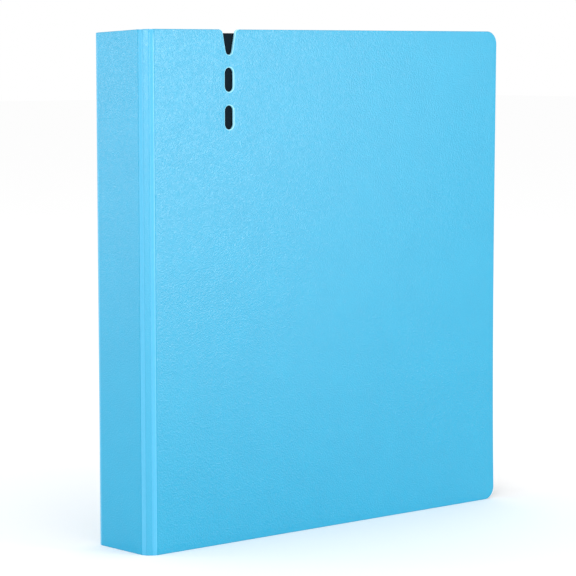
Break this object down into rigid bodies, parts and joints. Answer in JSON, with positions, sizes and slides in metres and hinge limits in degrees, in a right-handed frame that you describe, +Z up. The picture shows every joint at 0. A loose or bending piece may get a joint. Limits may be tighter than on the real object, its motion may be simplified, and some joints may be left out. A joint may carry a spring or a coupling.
{
  "type": "ring binder",
  "caption": "Plastic ring binder with living-hinge covers, a notch and slots by the hinge, an inner pocket and a lever-opened D-ring mechanism riveted to the back cover.",
  "frame": {"origin": "bottom centre of the closed binder's bounding box, on the surface it stands on", "axes": "+Z up along the spine; the spine faces -X, the front cover -Y, the back cover +Y, and the covers' free edges are at +X"},
  "size_m": [0.278, 0.0512, 0.295],
  "materials": {
    "case_blue": "matte, fine sand grain",
    "hinge_web": "satin, stretched thin",
    "pocket_charcoal": "satin",
    "nickel_steel": "nickel plated",
    "rivet_steel": "nickel plated"
  },
  "bodies": {
    "spine": {"spine": "case_blue"},
    "front_strip": {"front_strip": "case_blue", "front_spine_web": "hinge_web", "front_cover_web": "hinge_web"},
    "front_cover": {"front_cover": "case_blue", "front_pocket": "pocket_charcoal"},
    "back_strip": {"back_strip": "case_blue", "back_spine_web": "hinge_web", "back_cover_web": "hinge_web"},
    "back_cover": {"back_cover": "case_blue", "arch_plate": "nickel_steel", "standoffs": "nickel_steel", "rivets": "rivet_steel", "lever_pins": "rivet_steel"},
    "bow_rail": {"bow_rail": "nickel_steel", "ring_bow_top": "nickel_steel", "ring_bow_middle": "nickel_steel", "ring_bow_bottom": "nickel_steel"},
    "post_rail": {"post_rail": "nickel_steel", "ring_post_top": "nickel_steel", "ring_post_middle": "nickel_steel", "ring_post_bottom": "nickel_steel"},
    "lever_top": {"lever_top": "nickel_steel"},
    "lever_bottom": {"lever_bottom": "nickel_steel"}
  },
  "joints": [
    {"name": "front_spine_hinge", "type": "hinge", "parent": "spine", "child": "front_strip", "pos_m": [-0.13765, -0.02017, 0.1475], "axis": [0, 0, -1], "range_deg": [0, 90], "deforming": ["front_spine_web"]},
    {"name": "front_cover_hinge", "type": "hinge", "parent": "front_strip", "child": "front_cover", "pos_m": [-0.13362, -0.0242, 0.1475], "axis": [0, 0, -1], "range_deg": [0, 90], "deforming": ["front_cover_web"]},
    {"name": "back_spine_hinge", "type": "hinge", "parent": "spine", "child": "back_strip", "pos_m": [-0.13765, 0.01927, 0.1475], "axis": [0, 0, 1], "range_deg": [0, 90], "deforming": ["back_spine_web"]},
    {"name": "back_cover_hinge", "type": "hinge", "parent": "back_strip", "child": "back_cover", "pos_m": [-0.13362, 0.0233, 0.1475], "axis": [0, 0, 1], "range_deg": [0, 90], "deforming": ["back_cover_web"]},
    {"name": "rings", "type": "hinge", "parent": "back_cover", "child": "bow_rail", "pos_m": [-0.1162, 0.01925, 0.1475], "axis": [0, 0, -1], "range_deg": [0, 22]},
    {"name": "post_rail_turn", "type": "hinge", "parent": "back_cover", "child": "post_rail", "pos_m": [-0.0978, 0.01925, 0.1475], "axis": [0, 0, 1], "range_deg": [0, 22]},
    {"name": "lever_top_turn", "type": "hinge", "parent": "back_cover", "child": "lever_top", "pos_m": [-0.107, 0.01888, 0.274], "axis": [-1, 0, 0], "range_deg": [0, 35]},
    {"name": "lever_bottom_turn", "type": "hinge", "parent": "back_cover", "child": "lever_bottom", "pos_m": [-0.107, 0.01888, 0.021], "axis": [1, 0, 0], "range_deg": [0, 35]}
  ],
  "couplings": [
    {"joint": "front_cover_hinge", "follows": "front_spine_hinge", "ratio": 1},
    {"joint": "back_cover_hinge", "follows": "back_spine_hinge", "ratio": 1},
    {"joint": "post_rail_turn", "follows": "rings", "ratio": 1},
    {"joint": "lever_top_turn", "follows": "rings", "ratio": 1.57},
    {"joint": "lever_bottom_turn", "follows": "rings", "ratio": 1.57}
  ]
}
